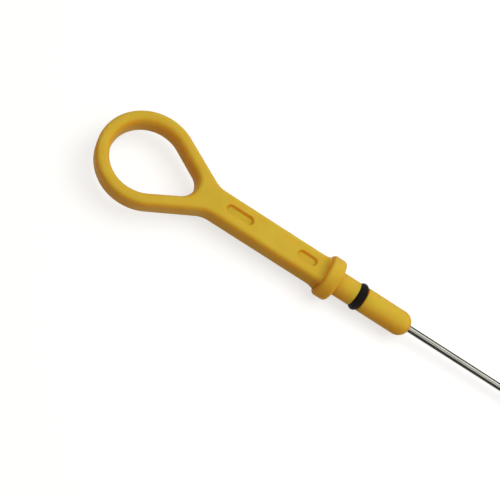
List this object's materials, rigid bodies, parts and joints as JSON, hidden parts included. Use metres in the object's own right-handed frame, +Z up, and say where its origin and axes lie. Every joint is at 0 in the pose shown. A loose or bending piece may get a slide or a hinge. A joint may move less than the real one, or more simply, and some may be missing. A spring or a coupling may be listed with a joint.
{
  "type": "engine oil dipstick",
  "caption": "Engine oil dipstick: a moulded handle with teardrop finger loop, flat neck, collar and domed nose, a rubber sealing ring, and a steel wire with a flattened measuring end.",
  "frame": {"origin": "middle of the collar face that lands on the mouth of the dipstick tube, on the long axis", "axes": "+Z up with the dipstick lying on the ground, +X along the dipstick from the finger loop to the measuring end; the long axis dips 1.6 degrees toward the measuring end, as the collar's rim and the tip carry it"},
  "size_m": [0.3689, 0.0366, 0.0165],
  "materials": {
    "handle": "satin yellow moulding",
    "o_ring": "matt black",
    "rod": "drawn bright wire"
  },
  "bodies": {
    "root": {"handle": "handle", "o_ring": "o_ring", "rod": "rod"}
  },
  "joints": []
}
